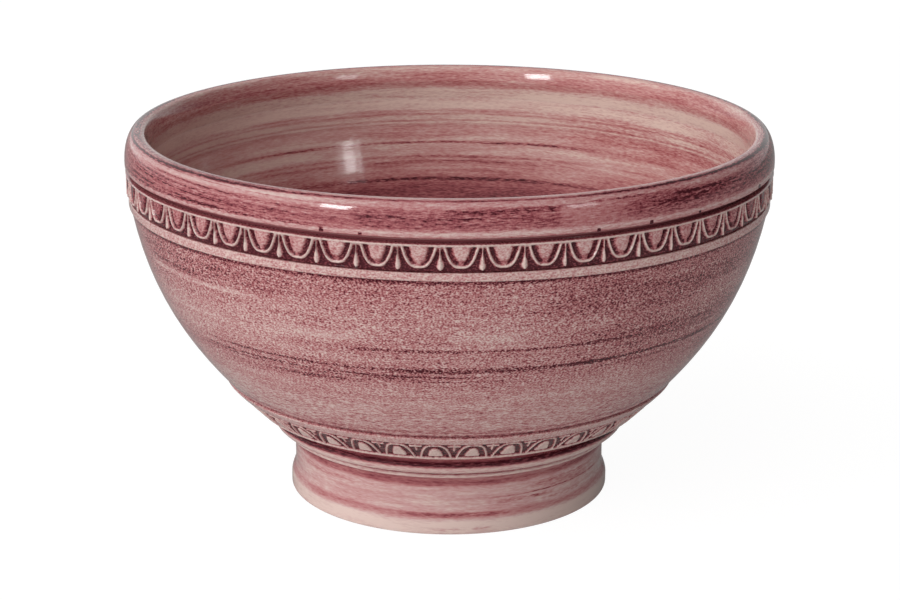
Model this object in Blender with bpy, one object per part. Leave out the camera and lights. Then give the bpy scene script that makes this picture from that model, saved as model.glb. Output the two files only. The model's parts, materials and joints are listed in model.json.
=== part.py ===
"""A footed salad bowl of glazed earthenware, in metres, with +Z up and its foot on the XY plane.

The pieces are the ones that the potter joins with slip before the firing: the thrown bowl and foot,
two coils round the neck, two pressed strips of egg and dart, two plain fillets and a coiled rim.
Outlines are lists of (radius, height). Angles round the bowl run from its front, -Y, towards +X.
"""

import math

import bmesh
import bpy
from mathutils import Vector

# Whole bowl
BOWL_HEIGHT = 0.1452
RIM_DIAMETER = 0.2500  # widest, at the lower edge of the collar
SLIP_GAP = 0.0003  # left open between pieces that meet
TURN_STEPS = 56

# Wall: one curve from the neck up to the shoulder
NECK_DIAMETER = 0.1262
NECK_HEIGHT = 0.0238
NECK_ANGLE = math.radians(42.0)
NECK_PULL = 0.0433
SHOULDER_INSET = 0.0018  # from the widest radius of the rim
SHOULDER_ANGLE = math.radians(79.5)
SHOULDER_PULL = 0.0435
WALL_THICKNESS = 0.0070
WALL_STEPS = 8

# Floor
FLOOR_HEIGHT = 0.0170  # inside, at the centre
FLOOR_THICKNESS = 0.0080
FLOOR_LEVEL_RUN = 0.0260  # how far it leaves the centre before it climbs
FLOOR_CLIMB = 0.8  # how sharply it turns up into the wall, up to 1
FLOOR_STEPS = 4

# Foot
WAIST_INSET = 0.0008  # from the seam under the bowl
WAIST_DROP = 0.0030
WAIST_LOW = 0.0105
FLARE_OUT = 0.0017  # beyond the waist
FLARE_HEIGHT = 0.0032
FLARE_ROUND = 0.0008
FOOT_WALL_THICKNESS = 0.0094
FOOT_EDGE_ROUND = 0.0010

# Rim
COLLAR_HEIGHT = 0.0129  # from its lower edge to the top of the lip
COLLAR_LEAN = 0.0021  # how far the collar draws in from its lower edge to the lip
COLLAR_EDGE_ROUND = 0.0006
LIP_THICKNESS = 0.0054
LIP_ROUND_HEIGHT = 0.0032
LIP_STEPS = 6

# Upper ornament, let into a turned seat under the collar
UPPER_SEAT_DEPTH = 0.0036  # from the widest radius of the rim
GROOVE_HEIGHT = 0.0019
GROOVE_DEPTH = 0.0027
UPPER_BAND_HEIGHT = 0.0100
UPPER_BAND_PROUD = 0.0031  # crown of the eggs above the band's back
UPPER_RELIEF = 0.0014
UPPER_LEDGE = 0.0007
UPPER_PITCH = 0.0144
UPPER_EGG_ROUND = 0.0050  # height of an egg's round end
UPPER_FIRST_EGG = math.radians(1.9)
UPPER_FILLET_HEIGHT = 0.0029
UPPER_FILLET_PROUD = 0.0022

# Lower ornament, let into a turned seat above the neck
LOWER_SEAT_DEPTH = 0.0013
LOWER_BAND_START = 0.0121  # above the neck, along the height
LOWER_BAND_HEIGHT = 0.0086
LOWER_BAND_PROUD = 0.0018
LOWER_RELIEF = 0.0008
LOWER_LEDGE = 0.0017
LOWER_PITCH = 0.01375
LOWER_EGG_ROUND = 0.0060
LOWER_FIRST_EGG = math.radians(-3.5)
LOWER_FILLET_HEIGHT = 0.0032
LOWER_FILLET_PROUD = 0.0018

# Egg and dart, common to both strips
EGG_MARGIN = 0.0008  # plain field beyond the round end of an egg
EGG_ROUND_STEPS = 4
BORDER_WIDTH = 0.0016
BORDER_GROOVE = 0.0008
DART_WIDTH = 0.0022
DART_SHOULDER = 0.0026  # height of its widest point
DART_SPACE = 0.0005  # plain field on each side of a dart

# Coils round the neck
LOWER_BEAD_HEIGHT = 0.0018
UPPER_BEAD_HEIGHT = 0.0041
BEAD_SPACE = 0.0004
BEAD_PROUD = 0.0025  # above the coil's flat back
BEAD_STEPS = 4

# Glaze: linear colours and roughness
ROSE = (0.36, 0.15, 0.14)
DEEP_ROSE = (0.22, 0.06, 0.07)
BURGUNDY = (0.13, 0.03, 0.04)
CREAM = (0.58, 0.40, 0.37)
PALE_ROSE = (0.44, 0.25, 0.23)
GLAZE_ROUGHNESS = 0.12

SAME_POINT = 1e-6
SHARP_EDGE = math.radians(35)


def direction(angle):
    return Vector((math.cos(angle), math.sin(angle)))


def outward(heading):
    """The side of a rising wall that faces away from the axis."""
    return Vector((heading.y, -heading.x))


def curve_point(controls, share):
    """The point of a cubic curve at a share of its way, and its direction there."""
    a, b, c, d = controls
    rest = 1 - share
    point = rest**3 * a + 3 * rest**2 * share * b + 3 * rest * share**2 * c + share**3 * d
    heading = rest**2 * (b - a) + 2 * rest * share * (c - b) + share**2 * (d - c)
    return point, heading.normalized()


def curve_points(controls, steps):
    return [curve_point(controls, i / steps)[0] for i in range(steps + 1)]


def arc(centre, half_width, half_height, start, end, steps):
    """Points of an ellipse's arc, from one angle to another."""
    points = []
    for i in range(steps + 1):
        angle = start + (end - start) * i / steps
        points.append(
            Vector((centre[0] + half_width * math.cos(angle), centre[1] + half_height * math.sin(angle)))
        )
    return points


collar_low = BOWL_HEIGHT - COLLAR_HEIGHT
upper_band_low = collar_low - GROOVE_HEIGHT - UPPER_BAND_HEIGHT
shoulder_height = upper_band_low - SLIP_GAP - UPPER_FILLET_HEIGHT
wall_top = collar_low - GROOVE_HEIGHT / 2
rim_radius = RIM_DIAMETER / 2
upper_seat_radius = rim_radius - UPPER_SEAT_DEPTH
lip_centre = Vector((rim_radius - COLLAR_LEAN - LIP_THICKNESS / 2, BOWL_HEIGHT - LIP_ROUND_HEIGHT))
mouth_radius = lip_centre.x - LIP_THICKNESS / 2

neck = Vector((NECK_DIAMETER / 2, NECK_HEIGHT))
shoulder = Vector((rim_radius - SHOULDER_INSET, shoulder_height))
wall_curve = (
    neck,
    neck + NECK_PULL * direction(NECK_ANGLE),
    shoulder - SHOULDER_PULL * direction(SHOULDER_ANGLE),
    shoulder,
)


def on_wall(height, proud=0.0):
    """The point that stands proud of the wall's curve, square to it, from the place at this height."""
    low, high = 0.0, 1.0
    for _ in range(40):
        middle = (low + high) / 2
        if curve_point(wall_curve, middle)[0].y < height:
            low = middle
        else:
            high = middle
    point, heading = curve_point(wall_curve, low)
    return point + proud * outward(heading)


def run_of_wall(start, end, steps, proud=0.0):
    return [on_wall(start + (end - start) * i / steps, proud) for i in range(steps + 1)]


def dish(edge, level):
    """A curve from the axis, level at first, that climbs to an edge at the neck's angle."""
    climb = FLOOR_CLIMB * (edge.y - level) / math.sin(NECK_ANGLE)
    return (
        Vector((0.0, level)),
        Vector((FLOOR_LEVEL_RUN, level)),
        edge - climb * direction(NECK_ANGLE),
        edge,
    )


lower_seat_back = SLIP_GAP - LOWER_SEAT_DEPTH
lower_band_low = NECK_HEIGHT + LOWER_BAND_START
lower_band_high = lower_band_low + LOWER_BAND_HEIGHT
lower_fillet_low = lower_band_high + SLIP_GAP
lower_fillet_high = lower_fillet_low + LOWER_FILLET_HEIGHT
lower_seat_high = lower_fillet_high + SLIP_GAP

seam = on_wall(NECK_HEIGHT, -LOWER_SEAT_DEPTH)
waist_radius = seam.x - WAIST_INSET
foot_inner_radius = waist_radius - FOOT_WALL_THICKNESS
seam_inner_end = seam - (seam.x - foot_inner_radius) / math.cos(NECK_ANGLE) * direction(NECK_ANGLE)

for leftover in list(bpy.data.objects):
    bpy.data.objects.remove(leftover, do_unlink=True)
bowl_origin = bpy.data.objects.new("salad_bowl", None)
bpy.context.scene.collection.objects.link(bowl_origin)


def glaze(name, colour):
    material = bpy.data.materials.new(name)
    material.use_nodes = True
    shader = material.node_tree.nodes["Principled BSDF"]
    shader.inputs["Base Color"].default_value = (*colour, 1.0)
    shader.inputs["Roughness"].default_value = GLAZE_ROUGHNESS
    shader.inputs["Metallic"].default_value = 0.0
    return material


def place(name, shape, colour):
    """Makes the piece an object whose origin is on the bowl's axis at the piece's lowest point."""
    bmesh.ops.remove_doubles(shape, verts=shape.verts, dist=SAME_POINT)
    bmesh.ops.recalc_face_normals(shape, faces=shape.faces)
    lowest = min(vertex.co.z for vertex in shape.verts)
    bmesh.ops.translate(shape, verts=shape.verts, vec=(0.0, 0.0, -lowest))
    mesh = bpy.data.meshes.new(name)
    shape.to_mesh(mesh)
    shape.free()
    mesh.shade_smooth()
    mesh.set_sharp_from_angle(angle=SHARP_EDGE)
    mesh.materials.append(glaze(name + "_glaze", colour))
    piece = bpy.data.objects.new(name, mesh)
    piece.parent = bowl_origin
    piece.location.z = lowest
    bpy.context.scene.collection.objects.link(piece)


def turned(name, outline, colour):
    """A piece thrown on the wheel: its outline spun round the axis. One that starts off the axis is closed."""
    shape = bmesh.new()
    points = [shape.verts.new((radius, 0.0, height)) for radius, height in outline]
    lines = [shape.edges.new(pair) for pair in zip(points, points[1:])]
    if outline[0].x > 0:
        lines.append(shape.edges.new((points[-1], points[0])))
    bmesh.ops.spin(
        shape,
        geom=points + lines,
        cent=(0.0, 0.0, 0.0),
        axis=(0.0, 0.0, 1.0),
        dvec=(0.0, 0.0, 0.0),
        angle=2 * math.pi,
        steps=TURN_STEPS,
        use_merge=True,
    )
    place(name, shape, colour)


def make_bowl_body():
    """The thrown bowl, from the middle of its floor up inside, over its top and down to its underside."""
    floor = curve_points(dish(on_wall(NECK_HEIGHT, -WALL_THICKNESS), FLOOR_HEIGHT), FLOOR_STEPS)
    inside = run_of_wall(NECK_HEIGHT, shoulder_height, WALL_STEPS, -WALL_THICKNESS)
    upper_seat = [
        Vector((mouth_radius, wall_top)),
        Vector((upper_seat_radius, wall_top)),
        Vector((upper_seat_radius, shoulder_height - SLIP_GAP)),
    ]
    outside = run_of_wall(shoulder_height - SLIP_GAP, lower_seat_high, WALL_STEPS)
    lower_seat = run_of_wall(lower_seat_high, NECK_HEIGHT, FLOOR_STEPS, -LOWER_SEAT_DEPTH)
    underside = curve_points(dish(seam_inner_end, FLOOR_HEIGHT - FLOOR_THICKNESS), FLOOR_STEPS)
    turned("bowl_body", floor[:-1] + inside + upper_seat + outside + lower_seat + underside[::-1], ROSE)


def make_foot_ring():
    """The hollow foot. Its sloping top meets the bowl's underside, and it rests on a flat ring."""
    flare_radius = waist_radius + FLARE_OUT
    base_radius = flare_radius - FLARE_ROUND
    drop = Vector((0.0, -SLIP_GAP / math.cos(NECK_ANGLE)))
    outside = [
        seam + drop,
        Vector((waist_radius, seam.y - WAIST_DROP)),
        Vector((waist_radius, WAIST_LOW)),
    ]
    flare = arc((base_radius, FLARE_HEIGHT), FLARE_ROUND, FLARE_HEIGHT, math.pi / 6, -math.pi / 2, 4)
    inside = [
        Vector((foot_inner_radius + FOOT_EDGE_ROUND, 0.0)),
        Vector((foot_inner_radius, FOOT_EDGE_ROUND)),
        seam_inner_end + drop,
    ]
    turned("foot_ring", outside + flare + inside, PALE_ROSE)


def make_rim_collar():
    """The rim coil: an inner face that carries on the wall, a rounded lip and a leaning collar."""
    groove_radius = rim_radius - GROOVE_DEPTH
    underneath = [
        Vector((mouth_radius, wall_top + SLIP_GAP)),
        Vector((groove_radius, wall_top + SLIP_GAP)),
        Vector((groove_radius, collar_low)),
    ]
    edge_centre = (rim_radius - COLLAR_EDGE_ROUND, collar_low + COLLAR_EDGE_ROUND)
    edge = arc(edge_centre, COLLAR_EDGE_ROUND, COLLAR_EDGE_ROUND, -math.pi / 2, 0.0, 2)
    bulge = Vector((rim_radius - COLLAR_LEAN / 4, (collar_low + lip_centre.y) / 2))
    lip = arc(lip_centre, LIP_THICKNESS / 2, LIP_ROUND_HEIGHT, 0.0, math.pi, LIP_STEPS)
    turned("rim_collar", underneath + edge + [bulge] + lip, DEEP_ROSE)


def make_fillet(name, low, high, proud):
    """A plain strip with its flat back on the seat from low to high, and its front corners rounded."""
    climb = (high - low).normalized()
    across = outward(climb)
    edge_round = proud / 5
    outline = [
        low,
        low + across * (proud - edge_round),
        low + across * proud + climb * edge_round,
        high + across * proud - climb * edge_round,
        high + across * (proud - edge_round),
        high,
    ]
    turned(name, outline, CREAM)


def make_bead(name, start, height):
    """A round coil pressed on to the seat, its back flat and its front a half ellipse."""
    low = on_wall(start, lower_seat_back)
    high = on_wall(start + height, lower_seat_back)
    middle = (low + high) / 2
    half_climb = (high - low) / 2
    across = outward(half_climb.normalized()) * BEAD_PROUD
    half_round = arc((0.0, 0.0), 1.0, 1.0, -math.pi / 2, math.pi / 2, BEAD_STEPS)
    outline = [middle + half_climb * share.y + across * share.x for share in half_round]
    turned(name, outline, CREAM)


def closed_line(shape, outline):
    corners = [shape.verts.new((point.x, point.y, 0.0)) for point in outline]
    lines = [shape.edges.new((corners[i - 1], corners[i])) for i in range(len(corners))]
    return corners, lines


def add_egg_and_dart(shape, pitch, field_high, egg_round, relief):
    """One flat tile: x along the strip, y from the eggs' round ends to the ledge, z out of the clay."""
    left = -pitch / 2 - DART_WIDTH / 2 - DART_SPACE / 2
    frame = [
        Vector((left, 0.0)),
        Vector((left + pitch, 0.0)),
        Vector((left + pitch, field_high)),
        Vector((left, field_high)),
    ]
    egg_half = pitch / 2 - DART_WIDTH / 2 - DART_SPACE
    egg_high = field_high - BORDER_GROOVE / 4
    round_end = arc((0.0, EGG_MARGIN + egg_round), egg_half, egg_round, math.pi, 2 * math.pi, EGG_ROUND_STEPS)
    egg = [Vector((-egg_half, egg_high))] + round_end + [Vector((egg_half, egg_high))]
    dart = [
        Vector((-pitch / 2, EGG_MARGIN)),
        Vector((-pitch / 2 + DART_WIDTH / 2, DART_SHOULDER)),
        Vector((-pitch / 2, field_high - BORDER_GROOVE)),
        Vector((-pitch / 2 - DART_WIDTH / 2, DART_SHOULDER)),
    ]
    frame_lines = closed_line(shape, frame)[1]
    egg_corners, egg_lines = closed_line(shape, egg)
    dart_corners, dart_lines = closed_line(shape, dart)
    bmesh.ops.triangle_fill(shape, edges=frame_lines + egg_lines + dart_lines, use_beauty=True)
    egg_face = shape.faces.new(egg_corners)
    dart_face = shape.faces.new(dart_corners)
    bmesh.ops.recalc_face_normals(shape, faces=shape.faces)
    if egg_face.normal.z < 0:
        bmesh.ops.reverse_faces(shape, faces=shape.faces)
    for thickness, rise in (
        (BORDER_WIDTH / 2, relief),
        (BORDER_WIDTH / 2, -relief),
        (BORDER_GROOVE, relief),
    ):
        bmesh.ops.inset_individual(shape, faces=[egg_face], thickness=thickness, depth=rise)
    bmesh.ops.poke(shape, faces=[dart_face], offset=relief)


def carry_edge(shape, lines, path):
    """Extrudes a flat strip's edge to each (y, z) in turn, and returns the last edge made."""
    for y, z in path:
        made = bmesh.ops.extrude_edge_only(shape, edges=lines)["geom"]
        ends = [item for item in made if isinstance(item, bmesh.types.BMVert)]
        for end in ends:
            end.co.y = y
            end.co.z = z
        lines = [
            item for item in made if isinstance(item, bmesh.types.BMEdge) and set(item.verts) <= set(ends)
        ]
    return lines


def edge_at(shape, y):
    return [
        line
        for line in shape.edges
        if line.is_boundary and all(abs(end.co.y - y) < SAME_POINT for end in line.verts)
    ]


def make_egg_band(name, low, high, pitch_wanted, first_egg, egg_round, ledge, relief, proud, inverted):
    """A pressed strip of egg and dart with its flat back on the seat from low to high.

    The strip is modelled flat: one egg and dart, its copies, the ledge and the back. It is then bent
    round the bowl. The round ends of the eggs point down, or up where the strip is inverted.
    """
    girth = 2 * math.pi * ((low.x + high.x) / 2 + proud)
    count = round(girth / pitch_wanted)
    pitch = girth / count
    height = (high - low).length
    field_high = height - ledge
    back = relief - proud

    shape = bmesh.new()
    add_egg_and_dart(shape, pitch, field_high, egg_round, relief)
    tile = shape.verts[:] + shape.edges[:] + shape.faces[:]
    for i in range(1, count):
        copy = bmesh.ops.duplicate(shape, geom=tile)["geom"]
        copied = [item for item in copy if isinstance(item, bmesh.types.BMVert)]
        bmesh.ops.translate(shape, verts=copied, vec=(i * pitch, 0.0, 0.0))
    bmesh.ops.remove_doubles(shape, verts=shape.verts, dist=SAME_POINT)
    ledge_path = [(field_high, relief), (height, relief), (height, back)]
    ledge_back = carry_edge(shape, edge_at(shape, field_high), ledge_path)
    margin_back = carry_edge(shape, edge_at(shape, 0.0), [(0.0, back)])
    bmesh.ops.bridge_loops(shape, edges=ledge_back + margin_back)

    climb = (high - low).normalized()
    across = outward(climb)
    for vertex in shape.verts:
        along = height - vertex.co.y if inverted else vertex.co.y
        point = low + climb * along + across * (vertex.co.z - back)
        angle = first_egg + 2 * math.pi * vertex.co.x / girth
        vertex.co = (point.x * math.sin(angle), -point.x * math.cos(angle), point.y)
    place(name, shape, BURGUNDY)


upper_back = upper_seat_radius + SLIP_GAP
make_bowl_body()
make_foot_ring()
make_bead("lower_neck_bead", NECK_HEIGHT + SLIP_GAP, LOWER_BEAD_HEIGHT)
make_bead("upper_neck_bead", NECK_HEIGHT + SLIP_GAP + LOWER_BEAD_HEIGHT + BEAD_SPACE, UPPER_BEAD_HEIGHT)
make_egg_band(
    "lower_egg_band",
    low=on_wall(lower_band_low, lower_seat_back),
    high=on_wall(lower_band_high, lower_seat_back),
    pitch_wanted=LOWER_PITCH,
    first_egg=LOWER_FIRST_EGG,
    egg_round=LOWER_EGG_ROUND,
    ledge=LOWER_LEDGE,
    relief=LOWER_RELIEF,
    proud=LOWER_BAND_PROUD,
    inverted=True,
)
make_fillet(
    "lower_fillet",
    on_wall(lower_fillet_low, lower_seat_back),
    on_wall(lower_fillet_high, lower_seat_back),
    LOWER_FILLET_PROUD,
)
make_fillet(
    "upper_fillet",
    Vector((upper_back, shoulder_height)),
    Vector((upper_back, shoulder_height + UPPER_FILLET_HEIGHT)),
    UPPER_FILLET_PROUD,
)
make_egg_band(
    "upper_egg_band",
    low=Vector((upper_back, upper_band_low)),
    high=Vector((upper_back, upper_band_low + UPPER_BAND_HEIGHT)),
    pitch_wanted=UPPER_PITCH,
    first_egg=UPPER_FIRST_EGG,
    egg_round=UPPER_EGG_ROUND,
    ledge=UPPER_LEDGE,
    relief=UPPER_RELIEF,
    proud=UPPER_BAND_PROUD,
    inverted=False,
)
make_rim_collar()
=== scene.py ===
# A footed salad bowl of glazed earthenware, painted in rose under a clear glaze.
import json
import math
import random

import bmesh
import bpy
import numpy
from mathutils import Matrix, Vector, noise

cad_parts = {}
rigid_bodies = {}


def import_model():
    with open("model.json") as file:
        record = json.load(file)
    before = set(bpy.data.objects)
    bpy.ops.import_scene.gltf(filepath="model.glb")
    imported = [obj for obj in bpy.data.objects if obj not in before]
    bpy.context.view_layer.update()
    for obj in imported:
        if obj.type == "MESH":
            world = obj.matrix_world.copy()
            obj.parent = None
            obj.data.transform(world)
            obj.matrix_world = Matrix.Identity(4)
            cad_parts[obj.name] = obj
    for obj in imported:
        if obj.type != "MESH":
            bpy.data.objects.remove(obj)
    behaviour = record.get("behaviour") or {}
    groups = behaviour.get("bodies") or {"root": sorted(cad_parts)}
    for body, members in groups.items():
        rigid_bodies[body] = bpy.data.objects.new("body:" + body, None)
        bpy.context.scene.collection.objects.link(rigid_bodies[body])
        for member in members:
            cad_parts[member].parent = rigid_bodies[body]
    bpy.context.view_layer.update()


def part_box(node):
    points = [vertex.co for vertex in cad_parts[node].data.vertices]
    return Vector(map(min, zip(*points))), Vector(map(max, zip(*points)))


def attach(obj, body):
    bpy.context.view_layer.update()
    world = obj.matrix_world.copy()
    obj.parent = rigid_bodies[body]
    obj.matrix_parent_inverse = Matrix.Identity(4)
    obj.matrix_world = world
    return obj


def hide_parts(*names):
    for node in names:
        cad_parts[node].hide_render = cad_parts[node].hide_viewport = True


for leftover in list(bpy.data.objects):
    bpy.data.objects.remove(leftover, do_unlink=True)
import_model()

# Thrown bowl. The potter throws it in one piece of red-white earthenware, then turns down two seats:
# one under the lip and one above the neck, where the pressed strips are let in. It is brushed with
# rose slip while the wheel turns, dabbed with a sponge outside, and glazed clear.
NECK_RADIUS = 0.0631
NECK_HEIGHT = 0.0238
NECK_ANGLE = math.radians(42.0)
NECK_PULL = 0.0433
SHOULDER_INSET = 0.0018
SHOULDER_ANGLE = math.radians(79.5)
SHOULDER_PULL = 0.0435
WALL_THICKNESS = 0.0070
FLOOR_HEIGHT = 0.0170
FLOOR_THICKNESS = 0.0080
FLOOR_LEVEL_RUN = 0.0260
FLOOR_CLIMB = 0.8
UPPER_SEAT_DEPTH = 0.0036
LOWER_SEAT_DEPTH = 0.0013
LOWER_SEAT_HIGH = 0.0483
POOLED_EDGE = 0.0018  # colour pools this far below the upper fillet
POOLED_FOOT = 0.0040  # and this far above the lower seat
FOOT_WALL_THICKNESS = 0.0094
WAIST_INSET = 0.0008
MOUTH_INSET = 0.0082  # from the widest radius of the rim to the inside of the lip
RING_DEPTH = 0.000015  # throwing rings left by the fingers
RING_PITCH = 0.0068
RING_DRIFT = 2.0  # how much the rings wander up and down, and how finely
RING_DRIFT_SCALE = 0.6
WOBBLE = 0.00007  # how far the clay strays from a true circle
WOBBLE_RISE = 25.0  # how fast that changes with height, per metre
TURN_STEPS = 256
SAME_POINT = 1e-6
SHARP_EDGE = math.radians(50)
MARKS = ("run", "tone", "stipple", "streak", "dash")  # what each vertex knows of its paint

# The potter's hand shows under the lip: the bands climb at the left and sag at the right, by amounts
# read by height. Each place is a middle angle from the front and a reach, in degrees.
HAND_LAID_ABOVE = 0.1080  # nothing below this height strays from the level
CLIMB = ((0.1120, 0.0), (0.1172, 0.0001), (0.1200, 0.00055), (0.1322, 0.00070), (0.1440, 0.0))
CLIMB_PLACE = (-42.0, 42.0)
SAG = ((0.1080, 0.0), (0.1172, 0.00045), (0.1200, 0.00010), (0.1322, 0.00010), (0.1420, 0.0))
SAG_PLACE = (30.0, 50.0)
THICK_LIP = 0.0004  # the lip is this much thicker inwards at the left
THICK_LIP_PLACE = (-70.0, 60.0)
THICK_LIP_HEIGHT = 0.0090  # over which it thickens, from the wall's top
LIP_MIDDLE_INSET = 0.0050  # from the widest radius to the middle of the lip

rim_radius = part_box("rim_collar")[1].x
bowl_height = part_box("rim_collar")[1].z
wall_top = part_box("bowl_body")[1].z
shoulder_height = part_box("upper_fillet")[0].z
mouth_radius = rim_radius - MOUTH_INSET
upper_seat_radius = rim_radius - UPPER_SEAT_DEPTH


def direction(angle):
    return Vector((math.cos(angle), math.sin(angle)))


def outward(heading):
    """The side of a rising wall that faces away from the axis."""
    return Vector((heading.y, -heading.x))


def curve_point(controls, share):
    """The point of a cubic curve at a share of its way, and its direction there."""
    a, b, c, d = controls
    rest = 1 - share
    point = rest**3 * a + 3 * rest**2 * share * b + 3 * rest * share**2 * c + share**3 * d
    heading = rest**2 * (b - a) + 2 * rest * share * (c - b) + share**2 * (d - c)
    return point, heading.normalized()


def step_up(value, low, high):
    """A soft step from 0 at the low value to 1 at the high one."""
    share = min(1.0, max(0.0, (value - low) / (high - low)))
    return share * share * (3 - 2 * share)


def curve_points(controls, steps):
    return [curve_point(controls, i / steps)[0] for i in range(steps + 1)]


def straight(start, end, steps):
    return [start.lerp(end, i / steps) for i in range(steps + 1)]


neck = Vector((NECK_RADIUS, NECK_HEIGHT))
shoulder = Vector((rim_radius - SHOULDER_INSET, shoulder_height))
wall_curve = (
    neck,
    neck + NECK_PULL * direction(NECK_ANGLE),
    shoulder - SHOULDER_PULL * direction(SHOULDER_ANGLE),
    shoulder,
)


def on_wall(height, proud=0.0):
    """The point that stands proud of the wall's curve, square to it, from the place at this height."""
    low, high = 0.0, 1.0
    for _ in range(40):
        middle = (low + high) / 2
        if curve_point(wall_curve, middle)[0].y < height:
            low = middle
        else:
            high = middle
    point, heading = curve_point(wall_curve, low)
    return point + proud * outward(heading)


def run_of_wall(start, end, steps, proud=0.0):
    return [on_wall(start + (end - start) * i / steps, proud) for i in range(steps + 1)]


def dish(edge, level):
    """A curve from the axis, level at first, that climbs to an edge at the neck's angle."""
    climb = FLOOR_CLIMB * (edge.y - level) / math.sin(NECK_ANGLE)
    return (
        Vector((0.0, level)),
        Vector((FLOOR_LEVEL_RUN, level)),
        edge - climb * direction(NECK_ANGLE),
        edge,
    )


def at_height(height, values):
    """A number as it is, or one read off pairs of height and number."""
    if isinstance(values, float):
        return values
    heights, numbers = zip(*sorted(values))
    return float(numpy.interp(height, heights, numbers))


def painted(points, tones, stipple, streak, dash):
    """Outline points with their paint: tone from 0, pale, to 1, pooled, then the amounts of marks."""
    return [
        (point, *(at_height(point.y, values) for values in (tones, stipple, streak, dash)))
        for point in points
    ]


def runs_of(outline):
    """Distance along the outline at each of its points."""
    runs = [0.0]
    for (here, *_), (there, *_) in zip(outline, outline[1:]):
        runs.append(runs[-1] + (there - here).length)
    return runs


def run_at(outline, height, inside=False, start=0.0):
    """Distance along the outline to a height, on its way up inside or on its way down outside."""
    runs = runs_of(outline)
    top = max(range(len(outline)), key=lambda i: outline[i][0].y)
    way = range(top) if inside else range(top, len(outline) - 1)
    for i in way:
        low, high = sorted((outline[i][0].y, outline[i + 1][0].y))
        if low <= height <= high and high > low:
            share = (height - outline[i][0].y) / (outline[i + 1][0].y - outline[i][0].y)
            return start + runs[i] + share * (runs[i + 1] - runs[i])
    return start


def bell(angle, middle, reach):
    """A soft swell round the bowl: 1 at its middle angle and 0 beyond its reach, in degrees."""
    away = abs((angle - middle + 180.0) % 360.0 - 180.0) / reach
    return math.cos(math.pi / 2 * min(1.0, away)) ** 2


def hand_laid(point):
    """Where the potter's hand left a point: the bands climb to the left and sag to the right."""
    angle = math.degrees(math.atan2(point.x, -point.y))
    climb = bell(angle, *CLIMB_PLACE) * at_height(point.z, CLIMB)
    sag = bell(angle, *SAG_PLACE) * at_height(point.z, SAG)
    radius = math.hypot(point.x, point.y)
    kept = 1.0
    if radius < rim_radius - LIP_MIDDLE_INSET:
        thicker = THICK_LIP * bell(angle, *THICK_LIP_PLACE)
        kept -= thicker * step_up(point.z, wall_top, wall_top + THICK_LIP_HEIGHT) / radius
    return Vector((point.x * kept, point.y * kept, point.z + climb - sag))


def dressed(name, shape):
    """Makes a finished mesh an object, after the potter's hand has moved its upper bands."""
    for vertex in shape.verts:
        if vertex.co.z > HAND_LAID_ABOVE:
            vertex.co = hand_laid(vertex.co)
    bmesh.ops.recalc_face_normals(shape, faces=shape.faces)
    mesh = bpy.data.meshes.new(name + "_glazed")
    shape.to_mesh(mesh)
    shape.free()
    mesh.shade_smooth()
    mesh.set_sharp_from_angle(angle=SHARP_EDGE)
    piece = bpy.data.objects.new(name + "_glazed", mesh)
    bpy.context.scene.collection.objects.link(piece)
    return piece


def turned(name, outline, closed=True, start=0.0, ring_depth=RING_DEPTH):
    """A piece thrown on the wheel: its painted outline spun round the axis, a little out of true."""
    shape = bmesh.new()
    layers = [shape.verts.layers.float.new(label) for label in MARKS]
    points = []
    for (point, *marks), run in zip(outline, runs_of(outline)):
        vertex = shape.verts.new((point.x, 0.0, point.y))
        for layer, value in zip(layers, (start + run, *marks)):
            vertex[layer] = value
        points.append(vertex)
    lines = [shape.edges.new(pair) for pair in zip(points, points[1:])]
    if closed:
        lines.append(shape.edges.new((points[-1], points[0])))
    bmesh.ops.spin(
        shape,
        geom=points + lines,
        cent=(0.0, 0.0, 0.0),
        axis=(0.0, 0.0, 1.0),
        dvec=(0.0, 0.0, 0.0),
        angle=2 * math.pi,
        steps=TURN_STEPS,
        use_merge=True,
    )
    bmesh.ops.remove_doubles(shape, verts=shape.verts, dist=SAME_POINT)
    for vertex in shape.verts:
        radius = math.hypot(vertex.co.x, vertex.co.y)
        if radius < 10 * SAME_POINT:
            continue
        around = Vector((vertex.co.x / radius, vertex.co.y / radius, vertex.co.z * WOBBLE_RISE))
        phase = 2 * math.pi * vertex[layers[0]] / RING_PITCH
        drift = RING_DRIFT * noise.noise(around * RING_DRIFT_SCALE)
        ring = ring_depth * math.sin(phase + drift)
        stray = WOBBLE * noise.noise(around) - WOBBLE + ring - ring_depth
        vertex.co.x *= 1 + stray / radius
        vertex.co.y *= 1 + stray / radius
    return dressed(name, shape)


def add_node(tree, kind, *values, **settings):
    """Adds a node, and sets or links its inputs in their order."""
    made = tree.nodes.new(kind)
    for label, value in settings.items():
        setattr(made, label, value)
    for socket, value in zip(made.inputs, values):
        if isinstance(value, bpy.types.NodeSocket):
            tree.links.new(value, socket)
        elif value is not None:
            socket.default_value = value
    return made


def calc(tree, operation, *values):
    return add_node(tree, "ShaderNodeMath", *values, operation=operation).outputs[0]


def mixed(tree, share, low, high):
    """A number that moves from low to high with the share."""
    return add_node(tree, "ShaderNodeMapRange", share, 0.0, 1.0, low, high, clamp=False).outputs[0]


def smooth_step(tree, value, low, high):
    settings = {"interpolation_type": "SMOOTHSTEP"}
    return add_node(tree, "ShaderNodeMapRange", value, low, high, 0.0, 1.0, **settings).outputs[0]


def new_group(name, inputs, outputs):
    """A shader node group with number inputs, and outputs of the kinds given."""
    group = bpy.data.node_groups.new(name, "ShaderNodeTree")
    for label in inputs:
        group.interface.new_socket(label, in_out="INPUT", socket_type="NodeSocketFloat")
    for label, kind in outputs:
        group.interface.new_socket(label, in_out="OUTPUT", socket_type=kind)
    return group, group.nodes.new("NodeGroupInput").outputs, group.nodes.new("NodeGroupOutput").inputs


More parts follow.
